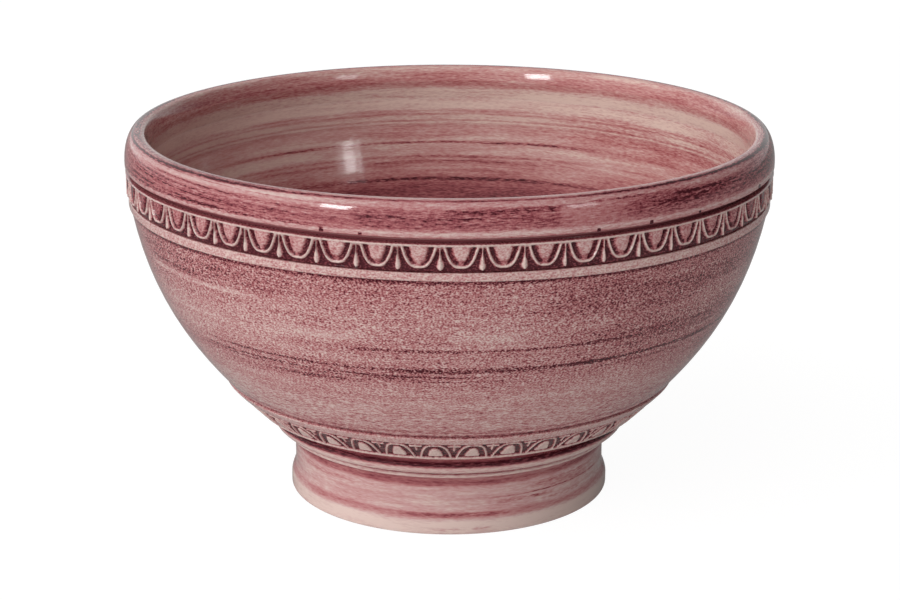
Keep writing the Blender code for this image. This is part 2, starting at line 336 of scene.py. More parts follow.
def soft_noise(tree, vector, detail, roughness):
    """Noise about zero, from about -1 to 1."""
    texture = add_node(tree, "ShaderNodeTexNoise")
    tree.links.new(vector, texture.inputs["Vector"])
    texture.inputs["Scale"].default_value = 1.0
    texture.inputs["Detail"].default_value = detail
    texture.inputs["Roughness"].default_value = roughness
    return calc(tree, "MULTIPLY_ADD", texture.outputs["Fac"], 4.0, -2.0)


# Marks of one band round the bowl, used for brush strokes and for painted light and shade: its middle
# angle, half length, place along the outline, slope, half width and the share of its length over which
# it fades.
STROKE_CORE = 0.2  # the share of its half width that is fully painted
stroke_and_shading_group, given, result = new_group(
    "stroke and shading band",
    ("Angle", "Run", "Middle", "Reach", "Place", "Slope", "Spread", "Fade", "Strength"),
    (("Paint", "NodeSocketFloat"),),
)
from_middle = calc(stroke_and_shading_group, "SUBTRACT", given["Angle"], given["Middle"])
path = calc(stroke_and_shading_group, "MULTIPLY_ADD", from_middle, given["Slope"], given["Place"])
aside = calc(stroke_and_shading_group, "ABSOLUTE", calc(stroke_and_shading_group, "SUBTRACT", given["Run"], path))
aside = calc(stroke_and_shading_group, "DIVIDE", aside, given["Spread"])
across = smooth_step(stroke_and_shading_group, aside, 1.0, STROKE_CORE)
reached = calc(stroke_and_shading_group, "DIVIDE", calc(stroke_and_shading_group, "ABSOLUTE", from_middle), given["Reach"])
full = calc(stroke_and_shading_group, "SUBTRACT", 1.0, given["Fade"])
along = smooth_step(stroke_and_shading_group, reached, 1.0, full)
covered = calc(stroke_and_shading_group, "MULTIPLY", across, along)
paint = calc(stroke_and_shading_group, "MULTIPLY", covered, given["Strength"])
stroke_and_shading_group.links.new(paint, result["Paint"])

# Rose slip under clear glaze. Brushed bands, bristle lines, sponged speckle and each piece's strokes
# and bands of painted light and shade gather into one strength of paint, which goes from pale cream
# through pink and red to pooled burgundy.
BROAD_SCALE = (0.9, 45.0)  # round the bowl, and per metre along its outline
BRUSH_SCALE = (3.0, 260.0)
BRISTLE_SCALE = (6.0, 1050.0)
SPECKLE_SCALE = (1250.0, 2000.0)  # per metre across, and per metre along the outline
DASH_SCALE = (420.0, 2200.0)
BROAD_SHARE = 0.07  # how strongly each kind of brushed band shows
BRUSH_SHARE = 0.15
BRISTLE_SHARE = 0.09
SPECKLE_GRAIN = (0.50, 0.64)  # how strongly speckle shows, as dabs and as dashes
RAGGED_BY_BRISTLES = 0.5  # how far bristle lines and speckle break up a brush stroke
RAGGED_BY_SPECKLE = 0.6
GLOSS_ROUGHNESS = (0.085, 0.10)
GLAZE_IOR = 1.5
GLAZE_BUMP = 0.000003
BRISTLE_BUMP = 0.5
INSIDE_FADE = 0.001  # over which the warm tint ends at the rim
AXIS_SOFTENING = 0.002  # keeps the bands whole near the axis
WARM_TINT = (1.12, 1.08, 1.03, 1.0)  # the inside is made paler and browner
PAINTS = (
    (0.00, (0.63, 0.485, 0.44)),
    (0.15, (0.565, 0.405, 0.375)),
    (0.30, (0.505, 0.297, 0.288)),
    (0.45, (0.445, 0.210, 0.208)),
    (0.60, (0.370, 0.130, 0.134)),
    (0.78, (0.240, 0.055, 0.067)),
    (1.00, (0.055, 0.005, 0.010)),
)
glaze_group, given, result = new_group(
    "rose glaze",
    ("Run", "Tone", "Speckle", "Streak", "Dash", "Strokes and shading", "Warmth"),
    (("Color", "NodeSocketColor"), ("Roughness", "NodeSocketFloat"), ("Height", "NodeSocketFloat")),
)
place = add_node(glaze_group, "ShaderNodeTexCoord").outputs["Object"]
x, y, _ = add_node(glaze_group, "ShaderNodeSeparateXYZ", place).outputs
y_squared = calc(glaze_group, "MULTIPLY", y, y)
radius = calc(glaze_group, "SQRT", calc(glaze_group, "MULTIPLY_ADD", x, x, y_squared))
soft_radius = calc(glaze_group, "ADD", radius, AXIS_SOFTENING)
round_x = calc(glaze_group, "DIVIDE", x, soft_radius)
round_y = calc(glaze_group, "DIVIDE", y, soft_radius)


def band_vector(scale, shift):
    """Coordinates that stretch a pattern round the bowl."""
    return add_node(
        glaze_group,
        "ShaderNodeCombineXYZ",
        calc(glaze_group, "MULTIPLY_ADD", round_x, scale[0], shift),
        calc(glaze_group, "MULTIPLY", round_y, scale[0]),
        calc(glaze_group, "MULTIPLY", given["Run"], scale[1]),
    ).outputs[0]


def grain_vector(scale):
    """Coordinates for a fine pattern that has the same size everywhere."""
    return add_node(
        glaze_group,
        "ShaderNodeCombineXYZ",
        calc(glaze_group, "MULTIPLY", x, scale[0]),
        calc(glaze_group, "MULTIPLY", y, scale[0]),
        calc(glaze_group, "MULTIPLY", given["Run"], scale[1]),
    ).outputs[0]


broad = soft_noise(glaze_group, band_vector(BROAD_SCALE, shift=3.0), detail=2.0, roughness=0.5)
brush = soft_noise(glaze_group, band_vector(BRUSH_SCALE, shift=7.0), detail=3.0, roughness=0.6)
bristle = soft_noise(glaze_group, band_vector(BRISTLE_SCALE, shift=11.0), detail=2.0, roughness=0.6)
dabbed = soft_noise(glaze_group, grain_vector(SPECKLE_SCALE), detail=1.0, roughness=0.5)
drawn = soft_noise(glaze_group, grain_vector(DASH_SCALE), detail=1.0, roughness=0.5)
speckle = mixed(glaze_group, given["Dash"], dabbed, drawn)
bands = calc(glaze_group, "MULTIPLY", broad, BROAD_SHARE)
bands = calc(glaze_group, "MULTIPLY_ADD", brush, BRUSH_SHARE, bands)
bands = calc(glaze_group, "MULTIPLY_ADD", bristle, BRISTLE_SHARE, bands)
streaked = calc(glaze_group, "MULTIPLY_ADD", bands, given["Streak"], given["Tone"])
ragged = calc(glaze_group, "MULTIPLY_ADD", bristle, RAGGED_BY_BRISTLES, 1.0)
ragged = calc(glaze_group, "MULTIPLY_ADD", speckle, RAGGED_BY_SPECKLE, ragged)
stroked_and_shaded = calc(glaze_group, "MULTIPLY_ADD", given["Strokes and shading"], ragged, streaked)
grain = mixed(glaze_group, given["Dash"], *SPECKLE_GRAIN)
speckle_amount = calc(glaze_group, "MULTIPLY", given["Speckle"], grain)
strength = calc(glaze_group, "MULTIPLY_ADD", speckle, speckle_amount, stroked_and_shaded)
ramp = add_node(glaze_group, "ShaderNodeValToRGB", strength)
for position, colour in PAINTS[1:-1]:
    ramp.color_ramp.elements.new(position)
for element, (position, colour) in zip(ramp.color_ramp.elements, PAINTS):
    element.position = position
    element.color = (*colour, 1.0)
tinted = add_node(glaze_group, "ShaderNodeMixRGB", given["Warmth"], ramp.outputs["Color"], WARM_TINT)
tinted.blend_type = "MULTIPLY"
glaze_group.links.new(tinted.outputs["Color"], result["Color"])
glaze_group.links.new(mixed(glaze_group, speckle, *GLOSS_ROUGHNESS), result["Roughness"])
unevenness = calc(glaze_group, "MULTIPLY_ADD", bristle, BRISTLE_BUMP, speckle)
glaze_group.links.new(unevenness, result["Height"])


def glazed(name, strokes_and_shading, rim_run=0.0):
    """The rose glaze with a piece's own strokes and painted light and shade, each measured from the
    front or the back.
    """
    material = bpy.data.materials.new(name)
    material.use_nodes = True
    tree = material.node_tree
    shader = tree.nodes["Principled BSDF"]
    shader.inputs["IOR"].default_value = GLAZE_IOR
    attributes = [
        add_node(tree, "ShaderNodeAttribute", attribute_name=label).outputs["Fac"]
        for label in MARKS
    ]
    place = add_node(tree, "ShaderNodeTexCoord").outputs["Object"]
    x, y, _ = add_node(tree, "ShaderNodeSeparateXYZ", place).outputs
    from_front = calc(tree, "ARCTAN2", x, calc(tree, "MULTIPLY", y, -1.0))
    from_back = calc(tree, "ARCTAN2", x, y)
    inside = smooth_step(tree, attributes[0], rim_run + INSIDE_FADE, rim_run - INSIDE_FADE)
    total = calc(tree, "ADD", 0.0, 0.0)
    for side, middle, reach, run, slope, spread, fade, strength in strokes_and_shading:
        angle = from_back if side == "inside" else from_front
        values = (angle, attributes[0], math.radians(middle), math.radians(reach), run)
        values += (slope / math.radians(90), spread, fade, strength)
        stroke = add_node(tree, "ShaderNodeGroup", *values, node_tree=stroke_and_shading_group)
        total = calc(tree, "ADD", total, stroke.outputs["Paint"])
    glaze = add_node(tree, "ShaderNodeGroup", *attributes, total, inside, node_tree=glaze_group)
    bump = add_node(tree, "ShaderNodeBump")
    bump.inputs["Distance"].default_value = GLAZE_BUMP
    tree.links.new(glaze.outputs["Height"], bump.inputs["Height"])
    tree.links.new(glaze.outputs["Color"], shader.inputs["Base Color"])
    tree.links.new(glaze.outputs["Roughness"], shader.inputs["Roughness"])
    tree.links.new(bump.outputs["Normal"], shader.inputs["Normal"])
    return material


def finish_piece(piece, node, material):
    """Gives the piece its glaze, and lets it stand for its CAD node."""
    piece.data.materials.append(material)
    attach(piece, "root")
    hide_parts(node)


INSIDE_TONES = (
    (0.0170, 0.58), (0.0600, 0.66), (0.0800, 0.80), (0.0925, 0.78), (0.0957, 0.64), (0.0963, 0.64),
    (0.0971, 0.60), (0.0977, 0.54), (0.0990, 0.48), (0.1010, 0.48), (0.1020, 0.40), (0.1030, 0.44),
    (0.1035, 0.52), (0.1041, 0.52), (0.1046, 0.42), (0.1054, 0.46), (0.1058, 0.54), (0.1064, 0.50),
    (0.1070, 0.32), (0.1100, 0.31), (0.1112, 0.36), (0.1116, 0.50), (0.1124, 0.50), (0.1129, 0.38),
    (0.1140, 0.35), (0.1146, 0.42), (0.1200, 0.42), (0.1206, 0.16), (0.1211, 0.20), (0.1214, 0.54),
    (0.1219, 0.24), (0.1238, 0.22), (0.1243, 0.52), (0.1250, 0.22), (0.1258, 0.38), (0.1266, 0.08),
    (0.1330, 0.05), (0.1352, 0.10), (0.1366, 0.40), (0.1400, 0.48), (0.1425, 0.42), (0.1436, 0.28),
    (0.1444, 0.24), (0.1449, 0.32), (0.1452, 0.36),
)
OUTSIDE_TONES = (
    (0.0484, 0.95), (0.0488, 0.75), (0.0491, 0.70), (0.0495, 0.38), (0.0500, 0.42), (0.0505, 0.58),
    (0.0511, 0.56), (0.0520, 0.37), (0.0600, 0.35), (0.0660, 0.38), (0.0720, 0.43), (0.0740, 0.52),
    (0.0780, 0.54), (0.0800, 0.47), (0.0850, 0.44), (0.0892, 0.48), (0.0912, 0.42), (0.0970, 0.42),
    (0.1040, 0.50), (0.1100, 0.54), (0.1150, 0.57), (0.1158, 0.64), (0.1163, 0.92), (0.1172, 1.00),
)
NECK_TONES = (
    (0.0238, 0.94), (0.0308, 0.90), (0.0318, 0.80), (0.0328, 0.70), (0.0337, 0.62), (0.0475, 0.62),
    (0.0490, 0.95),
)
UNDERSIDE_TONES = ((0.0090, 0.30), (0.0250, 0.40))
OUTSIDE_DASH = ((0.0600, 0.6), (0.0760, 0.0))
INSIDE_STREAK = ((0.0940, 0.5), (0.1000, 1.1))
seam = on_wall(NECK_HEIGHT, -LOWER_SEAT_DEPTH)
foot_inner_radius = seam.x - WAIST_INSET - FOOT_WALL_THICKNESS
seam_inner_end = seam - (seam.x - foot_inner_radius) / math.cos(NECK_ANGLE) * direction(NECK_ANGLE)
floor = curve_points(dish(on_wall(NECK_HEIGHT, -WALL_THICKNESS), FLOOR_HEIGHT), 30)
inside_wall = run_of_wall(NECK_HEIGHT, shoulder_height, 100, -WALL_THICKNESS)
inside_top = straight(inside_wall[-1], Vector((mouth_radius, wall_top)), 18)
upper_seat = [Vector((upper_seat_radius, z)) for z in (wall_top, shoulder_height + SAME_POINT)]
edge_run = run_of_wall(shoulder_height, shoulder_height - POOLED_EDGE, 6)
outside_wall = run_of_wall(shoulder_height - POOLED_EDGE, LOWER_SEAT_HIGH + POOLED_FOOT, 100)
low_edge_run = run_of_wall(LOWER_SEAT_HIGH + POOLED_FOOT, LOWER_SEAT_HIGH, 14)
lower_seat = run_of_wall(LOWER_SEAT_HIGH, NECK_HEIGHT, 30, -LOWER_SEAT_DEPTH)
underside_curve = curve_points(dish(seam_inner_end, FLOOR_HEIGHT - FLOOR_THICKNESS), 20)
underside = straight(seam, seam_inner_end, 4) + underside_curve[::-1]
inside_points = floor[:-1] + inside_wall + inside_top[1:]
outside_points = edge_run + outside_wall[1:] + low_edge_run[1:]
bowl_outline = painted(inside_points, INSIDE_TONES, stipple=0.22, streak=INSIDE_STREAK, dash=1.0)
bowl_outline += painted(upper_seat, 0.80, stipple=0.0, streak=0.0, dash=0.0)
bowl_outline += painted(outside_points, OUTSIDE_TONES, stipple=1.0, streak=0.75, dash=OUTSIDE_DASH)
bowl_outline += painted(lower_seat, NECK_TONES, stipple=0.2, streak=0.5, dash=1.0)
bowl_outline += painted(underside[1:], UNDERSIDE_TONES, stipple=0.4, streak=0.8, dash=1.0)


def placed(strokes_and_shading, side, outline, start=0.0):
    """Strokes and painted light and shade of one side, with each height turned into a place along the
    outline.
    """
    return [
        (side, middle, reach, run_at(outline, height, side == "inside", start), *rest)
        for middle, reach, height, *rest in strokes_and_shading
    ]


# Each stroke or band of painted light and shade: its middle angle and half length in degrees, its
# height, how far it drifts along the outline in a quarter turn, its half width, its fade and its
# strength.
INSIDE_STROKES_AND_SHADING = (
    (-8.0, 54.0, 0.1120, 0.0, 0.0009, 0.50, 0.26),
    (-2.0, 42.0, 0.0967, 0.0, 0.0011, 0.50, 0.24),
    (-10.0, 50.0, 0.1038, 0.0, 0.0009, 0.50, 0.10),
    (-12.0, 46.0, 0.1060, 0.0, 0.0009, 0.50, 0.10),
    # This broad band pales the shaded left wall inside, painted light; the next darkens the lit right
    # wall, painted shade.
    (-52.0, 46.0, 0.1150, 0.0, 0.0240, 0.60, -0.08),
    (62.0, 50.0, 0.1260, 0.0, 0.0200, 0.60, 0.10),
)
OUTSIDE_STROKES_AND_SHADING = (
    # This broad band pales the body's left side, painted light.
    (-45.0, 32.0, 0.0880, 0.0, 0.0100, 0.60, -0.06),
    (-6.0, 26.0, 0.1060, 0.0, 0.0090, 0.60, -0.04),
    (-46.0, 24.0, 0.1100, 0.0, 0.0070, 0.50, 0.08),
    # These two broad bands darken the body's right side, painted shade.
    (52.0, 42.0, 0.1060, 0.0, 0.0100, 0.60, 0.15),
    (55.0, 38.0, 0.0900, 0.0, 0.0110, 0.60, 0.23),
    (-57.0, 9.0, 0.1075, 0.0, 0.0012, 0.40, 0.16),
    # This pale line at the body's left edge is a painted sheen.
    (-51.0, 20.0, 0.1043, 0.0, 0.0016, 0.50, -0.22),
    (-22.0, 12.0, 0.0942, 0.0, 0.0038, 0.70, -0.14),
    (6.0, 8.0, 0.0942, 0.0, 0.0036, 0.70, -0.13),
    (10.0, 31.0, 0.0893, 0.0, 0.0009, 0.30, 0.28),
    (47.0, 27.0, 0.0811, 0.0, 0.0013, 0.25, 0.56),
    (25.0, 7.0, 0.0811, 0.0, 0.0014, 0.50, 0.20),
    (-24.0, 30.0, 0.0811, 0.0, 0.0009, 0.50, 0.36),
    (6.0, 20.0, 0.0811, 0.0, 0.0022, 0.50, 0.36),
    (-28.0, 32.0, 0.0784, 0.0, 0.0007, 0.40, 0.34),
    (-30.0, 30.0, 0.0771, 0.0, 0.0006, 0.40, 0.20),
    (-2.0, 18.0, 0.0782, 0.0, 0.0006, 0.60, 0.18),
    (2.0, 14.0, 0.0762, 0.0, 0.0006, 0.60, 0.18),
    (-27.0, 13.0, 0.0750, 0.0, 0.0015, 0.70, 0.22),
    (35.0, 24.0, 0.0790, 0.0, 0.0022, 0.60, 0.10),
)
bowl_body = turned("bowl_body", bowl_outline, closed=False)
mouth_run = run_at(bowl_outline, wall_top - SAME_POINT, inside=True)
bowl_strokes_and_shading = placed(INSIDE_STROKES_AND_SHADING, "inside", bowl_outline)
bowl_strokes_and_shading += placed(OUTSIDE_STROKES_AND_SHADING, "outside", bowl_outline)
finish_piece(bowl_body, "bowl_body", glazed("rose_glaze", bowl_strokes_and_shading, mouth_run))

# Foot. It is thrown as a hollow ring and luted under the floor with slip. It is waisted, flares a
# little to a crisp base, and is brushed in soft bands that fade to bare cream at the bottom.
FOOT_EDGE_ROUND = 0.0010
WAIST_DROP = 0.0030
WAIST_LOW = 0.0106
FLARE_OUT = 0.0017
FLARE_HEIGHT = 0.0040
FLARE_ROUND = 0.0008
FLARE_PULL = (0.0025, 0.0024)  # how long the waist and the flare stay upright
FLARE_LEAN = 0.0002
FOOT_TONES = (
    (0.0000, 0.12), (0.0030, 0.02), (0.0050, 0.02), (0.0058, 0.22), (0.0066, 0.46), (0.0080, 0.50),
    (0.0087, 0.32), (0.0098, 0.24), (0.0110, 0.30), (0.0125, 0.22), (0.0140, 0.32), (0.0150, 0.22),
    (0.0165, 0.30), (0.0180, 0.24), (0.0186, 0.36), (0.0192, 0.58), (0.0206, 0.72), (0.0214, 0.54),
    (0.0240, 0.60),
)
waist_radius = seam.x - WAIST_INSET
flare_radius = waist_radius + FLARE_OUT


def arc(centre, half_width, half_height, start, end, steps):
    """Points of an ellipse's arc, from one angle to another."""
    points = []
    for i in range(steps + 1):
        angle = start + (end - start) * i / steps
        across, up = half_width * math.cos(angle), half_height * math.sin(angle)
        points.append(Vector((centre[0] + across, centre[1] + up)))
    return points


foot_side = [seam, Vector((waist_radius, seam.y - WAIST_DROP))]
foot_curve = (
    Vector((waist_radius, WAIST_LOW)),
    Vector((waist_radius, WAIST_LOW - FLARE_PULL[0])),
    Vector((flare_radius - FLARE_LEAN, FLARE_HEIGHT + FLARE_PULL[1])),
    Vector((flare_radius, FLARE_HEIGHT)),
)
flare = arc((flare_radius - FLARE_ROUND, FLARE_ROUND), FLARE_ROUND, FLARE_ROUND, 0.0, -math.pi / 2, 6)
foot_inside = [
    Vector((foot_inner_radius + FOOT_EDGE_ROUND, 0.0)),
    Vector((foot_inner_radius, FOOT_EDGE_ROUND)),
    seam_inner_end,
]
foot_points = straight(*foot_side, 6)
foot_points += straight(foot_side[1], foot_curve[0], 24)[1:]
foot_points += curve_points(foot_curve, 16)[1:]
foot_points += straight(foot_curve[-1], flare[0], 8)[1:] + flare[1:]
foot_points += straight(flare[-1], foot_inside[0], 4)[1:]
foot_points += straight(foot_inside[1], foot_inside[2], 10)
foot_outline = painted(foot_points, FOOT_TONES, stipple=0.15, streak=0.85, dash=1.0)

FOOT_STROKES = (
    (-48.0, 26.0, 0.0222, -0.0030, 0.0014, 0.50, 0.12),
    (-48.0, 30.0, 0.0165, 0.0, 0.0016, 0.60, 0.08),
    (2.0, 22.0, 0.0075, 0.0, 0.0012, 0.50, 0.16),
    (42.0, 30.0, 0.0136, 0.0, 0.0004, 0.20, 0.28),
    (28.0, 15.0, 0.0119, 0.0, 0.0012, 0.50, 0.26),
    (46.0, 22.0, 0.0160, 0.0, 0.0030, 0.60, 0.14),
    (46.0, 14.0, 0.0100, 0.0, 0.0008, 0.60, 0.16),
    (6.0, 14.0, 0.0022, -0.0040, 0.0008, 0.60, 0.16),
)
foot_ring = turned("foot_ring", foot_outline)
foot_strokes = placed(FOOT_STROKES, "outside", foot_outline)
finish_piece(foot_ring, "foot_ring", glazed("foot_glaze", foot_strokes))

# Two coils round the neck. Each is rolled, laid in the lower seat over the seam between the foot and
# the bowl, and rounded with a wet finger. The glaze runs off their crowns and leaves them cream.
BEAD_PROUD = 0.0025
BEAD_STEPS = 16
SLIP_DEPTH = 0.0003  # every coil and strip reaches this far into the slip behind it
LOWER_SEAT_BACK = -0.0010  # where that slip begins in the lower seat, from the wall's curve
LOWER_BEAD = (0.0241, 0.0259)  # heights
UPPER_BEAD = (0.0263, 0.0304)
# Each coil's two ends are painted dark: pooled colour, and painted shade in the notch between the
# coils.
BEAD_TONES = (
    (0.00, 1.0), (0.20, 0.98), (0.28, 0.55), (0.36, 0.22), (0.66, 0.12), (0.74, 0.35), (0.80, 0.98),
    (1.00, 1.0),
)
BEAD_MARKS = (0.30, 0.40, 1.0)  # speckle, streaks and dashes


def strip_outline(low, high, front):
    """A closed outline between two points of the seat, with the front given from low to high."""
    climb = (high - low).normalized()
    across = outward(climb)
    sunk = -SLIP_DEPTH * across
    points = [low + climb * along + across * proud for along, proud in front]
    return [low + sunk] + points + [high + sunk]


def painted_across(points, tones, marks):
    """A closed outline's points with their paint, the tone read by the share of the way along it."""
    last = len(points) - 1
    return [(point, at_height(i / last, tones), *marks) for i, point in enumerate(points)]


def bead(name, low_height, high_height):
    low = on_wall(low_height, LOWER_SEAT_BACK)
    high = on_wall(high_height, LOWER_SEAT_BACK)
    length = (high - low).length
    front = [
        (length / 2 * (1 + point.y), BEAD_PROUD * point.x)
        for point in arc((0.0, 0.0), 1.0, 1.0, -math.pi / 2, math.pi / 2, BEAD_STEPS)
    ]
    outline = painted_across(strip_outline(low, high, front), BEAD_TONES, BEAD_MARKS)
    piece = turned(name, outline, ring_depth=0.0)
    finish_piece(piece, name, cream_glaze)


cream_glaze = glazed("cream_glaze", ())
bead("lower_neck_bead", *LOWER_BEAD)
bead("upper_neck_bead", *UPPER_BEAD)

# Pressed strips of egg and dart. The clay is pressed in a plaster mould and bent round the bowl. Each
# egg lies in a raised border open to the ledge, with a dart between it and the next. The colour
# runs into the hollows and leaves the crowns pale.
BARE_CREST = 0.98  # how much of the colour the glaze takes off a sharp crest
BARE_FACE = 0.76  # and off the broad face of an egg
FACE_PAINTED_SHADE = 0.75  # how much less of it towards the bowl's two sides, where the faces are painted darker: painted shade
SIDE_PAINTED_SHADE = 0.13  # and the whole strip is painted darker there: painted shade
CREST_TONES = (0.20, 0.76)  # the share of the relief where the colour begins and ends its fade
FACE_TONES = (0.10, 1.00)
MOTIF_COLUMNS = 46
STRIP_ROWS = 32
STRIP_EDGE_ROUND = 0.0003
STRIP_MARKS = (0.50, 0.25, 0.0)  # speckle, streaks and dashes
EDGE_TONE = 0.8
BACK_TONE = 0.75
DENT_SCALE = 700.0  # the fine unevenness of the pressed clay, per metre
DENT_DEPTH = 0.00008
DENT_SHIFT = 0.20  # how far it moves the fade of the colour
STAIN_SCALE = 450.0  # patches where colour stays on the crowns, per metre
STAIN_SHIFT = 0.1  # between the two patterns
STAIN_DEPTH = 0.20
LOWER_EGGS = (0.0359, 0.0445)  # heights


def ridge(distance, half_width):
    """A soft ridge: 1 on its line and 0 at its half width."""
    return math.cos(math.pi / 2 * min(1.0, abs(distance) / half_width)) ** 2


def curve_side(u, v, curve, wide, raised=0.0):
    """How far a point of the strip lies inside a rounded curve that opens towards the ledge."""
    half, low, high, power = curve
    half *= wide
    low += raised
    share = abs(u) / half
    border = low + (high - low) * share**power
    slope = (high - low) * power * share ** (power - 1) / half
    return (v - border) / math.sqrt(1 + slope * slope)


# Upper strip. A curve has a half width, a lowest point, an opening and a power. A pair of numbers says
# where a slope begins and ends.
UPPER_BORDER = (0.0060, 0.0019, 0.0101, 3.0)
UPPER_BORDER_PROUD = 0.0013
UPPER_BORDER_HALF = 0.0010
UPPER_EGG = (0.0037, 0.0034, 0.0096, 3.1)
UPPER_EGG_PROUD = 0.0012
UPPER_EGG_FLANK = (-0.0010, 0.0014)
STEM_PROUD = 0.0008  # clay left between the egg's tip and its border
STEM_FLANK = (0.0004, 0.0020)
DART_PROUD = 0.0013
DART_STEM_HALF = 0.00035
DART_FLANK = 1.5
DART_SHOULDER = 0.0066  # below it the dart swells, over this length
DART_SWELL = 0.0044
DART_POINT = 0.0020  # below it the dart is rounded off, over this length
DART_ROUND = 0.0012
UPPER_SLOPE_PROUD = 0.0008
UPPER_SLOPE = (0.0076, 0.0090)
UPPER_LEDGE_PROUD = 0.0014
UPPER_LEDGE = (0.0088, 0.0092)


def upper_relief(u, v, dart_u, habit):
    """Height of the upper strip's relief above its field, and how bare of paint its crowns are."""
    wide, low, drop = habit
    bare = BARE_CREST
    border = curve_side(u, v, UPPER_BORDER, wide)
    relief = UPPER_BORDER_PROUD * ridge(border, UPPER_BORDER_HALF)
    if border > 0:
        egg = curve_side(u, v, UPPER_EGG, wide, low)
        stem = STEM_PROUD * (1 - step_up(abs(u), *STEM_FLANK))
        face = max(stem, UPPER_EGG_PROUD * step_up(egg, *UPPER_EGG_FLANK))
        if face > relief:
            relief, bare = face, BARE_FACE
    else:
        half = DART_STEM_HALF + drop * step_up(DART_SHOULDER - v, 0.0, DART_SWELL)
        if v < DART_POINT:
            half *= math.sqrt(max(0.0, 1 - ((DART_POINT - v) / DART_ROUND) ** 2))
        if half > 0:
            relief = max(relief, DART_PROUD * ridge(dart_u, DART_FLANK * half))
        relief = max(relief, UPPER_SLOPE_PROUD * step_up(v, *UPPER_SLOPE))
    ledge = UPPER_LEDGE_PROUD * step_up(v, *UPPER_LEDGE)
    if ledge > relief:
        relief, bare = ledge, BARE_CREST
    return relief, bare


# Lower strip. Its darts have a bar across their foot.
LOWER_PROUD = 0.0008
LOWER_BORDER = (0.0053, 0.0008, 0.0087, 3.4)
LOWER_BORDER_HALF = 0.0008
LOWER_EGG = (0.0031, 0.0030, 0.0092, 2.6)
LOWER_EGG_FLANK = (-0.0004, 0.0009)
LOWER_EGG_END = (0.0092, 0.0100)
LOWER_DART_PROUD = 0.0007
LOWER_DART_HALF = 0.0008
LOWER_DART_TOP = 0.0052
BAR_PLACE = 0.0015
BAR_HALF = 0.0009
BAR_END = (0.0021, 0.0027)
LOWER_LEDGE = (0.0107, 0.0111)


def lower_relief(u, v, dart_u, habit):
    """Height of the lower strip's relief above its field, and how bare of paint its crowns are."""
    wide, low, _ = habit
    border = curve_side(u, v, LOWER_BORDER, wide)
    relief = LOWER_PROUD * ridge(border, LOWER_BORDER_HALF)
    if border > 0:
        egg = curve_side(u, v, LOWER_EGG, wide, low)
        face = LOWER_PROUD * step_up(egg, *LOWER_EGG_FLANK) * (1 - step_up(v, *LOWER_EGG_END))
        relief = max(relief, face)
    else:
        if v < LOWER_DART_TOP:
            relief = max(relief, LOWER_DART_PROUD * ridge(dart_u, LOWER_DART_HALF))
        bar = LOWER_DART_PROUD * ridge(v - BAR_PLACE, BAR_HALF) * (1 - step_up(abs(dart_u), *BAR_END))
        relief = max(relief, bar)
    return max(relief, LOWER_PROUD * step_up(v, *LOWER_LEDGE)), BARE_CREST


def egg_band(name, low, high, proud, deepest, count, first, drop, relief_of, inverted, seed):
    """A strip bent round the bowl between two points of its seat: a grid that the relief raises."""
    draw = random.Random(seed)
    # How wide each motif was pressed, how far its egg moved and how broad its dart swells.
    habits = [
        (
            draw.uniform(0.96, 1.03),
            draw.uniform(-0.0004, 0.0004),
            drop * draw.choice((0.5, 0.8, 0.9, 1.0, 1.0, 1.1, 1.25)),
        )
        for _ in range(count)
    ]
    climb = (high - low).normalized()
    across = outward(climb)
    length = (high - low).length
    girth = 2 * math.pi * ((low.x + high.x) / 2 + proud)
    pitch = girth / count
    rows = STRIP_ROWS + 4  # with one for the edge and one for the back at either side
    shape = bmesh.new()
    layers = [shape.verts.layers.float.new(label) for label in MARKS]
    bmesh.ops.create_grid(shape, x_segments=count * MOTIF_COLUMNS, y_segments=rows, size=0.5)
    for vertex in shape.verts:
        turn = vertex.co.x + 0.5
        row = round((vertex.co.y + 0.5) * rows) - 2
        v = length * min(1.0, max(0.0, row / STRIP_ROWS))
        strip_u = turn * girth
        number = math.floor(strip_u / pitch + 0.5)
        u = strip_u - number * pitch
        dart_u = abs(u) - pitch / 2
        relief, bare = relief_of(u, v, dart_u, habits[number % count])
        spot = Vector((math.sin(2 * math.pi * turn), math.cos(2 * math.pi * turn), 0.0)) * low.x
        dent = noise.noise(Vector((spot.x, spot.y, v)) * DENT_SCALE)
        stain = max(0.0, noise.noise(Vector((spot.x, spot.y, v + STAIN_SHIFT)) * STAIN_SCALE))
        angle = first + 2 * math.pi * turn
        fade = CREST_TONES
        # The faces, and then the whole strip, are painted darker towards the bowl's two sides: painted
        # shade.
        if bare == BARE_FACE:
            bare *= 1 - FACE_PAINTED_SHADE * math.sin(angle) ** 4
            fade = FACE_TONES
        tone = 1.0 - bare * step_up(relief / deepest + DENT_SHIFT * dent, *fade)
        tone = min(1.0, tone + STAIN_DEPTH * stain + SIDE_PAINTED_SHADE * math.sin(angle) ** 2)
        out = proud - deepest + relief + DENT_DEPTH * dent - DENT_DEPTH
        if row in (0, STRIP_ROWS):
            v += STRIP_EDGE_ROUND if row == 0 else -STRIP_EDGE_ROUND
        if row in (-1, STRIP_ROWS + 1):
            out -= STRIP_EDGE_ROUND
            tone = EDGE_TONE
        if row in (-2, STRIP_ROWS + 2):
            out = -SLIP_DEPTH
            tone = BACK_TONE
        along = length - v if inverted else v
        point = low + climb * along + across * out
        vertex.co = (point.x * math.sin(angle), -point.x * math.cos(angle), point.y)
        for layer, value in zip(layers, (along, tone, *STRIP_MARKS)):
            vertex[layer] = value
    bmesh.ops.remove_doubles(shape, verts=shape.verts, dist=SAME_POINT)
    rims = [line for line in shape.edges if line.is_boundary]
    bmesh.ops.bridge_loops(shape, edges=rims)
    return dressed(name, shape)


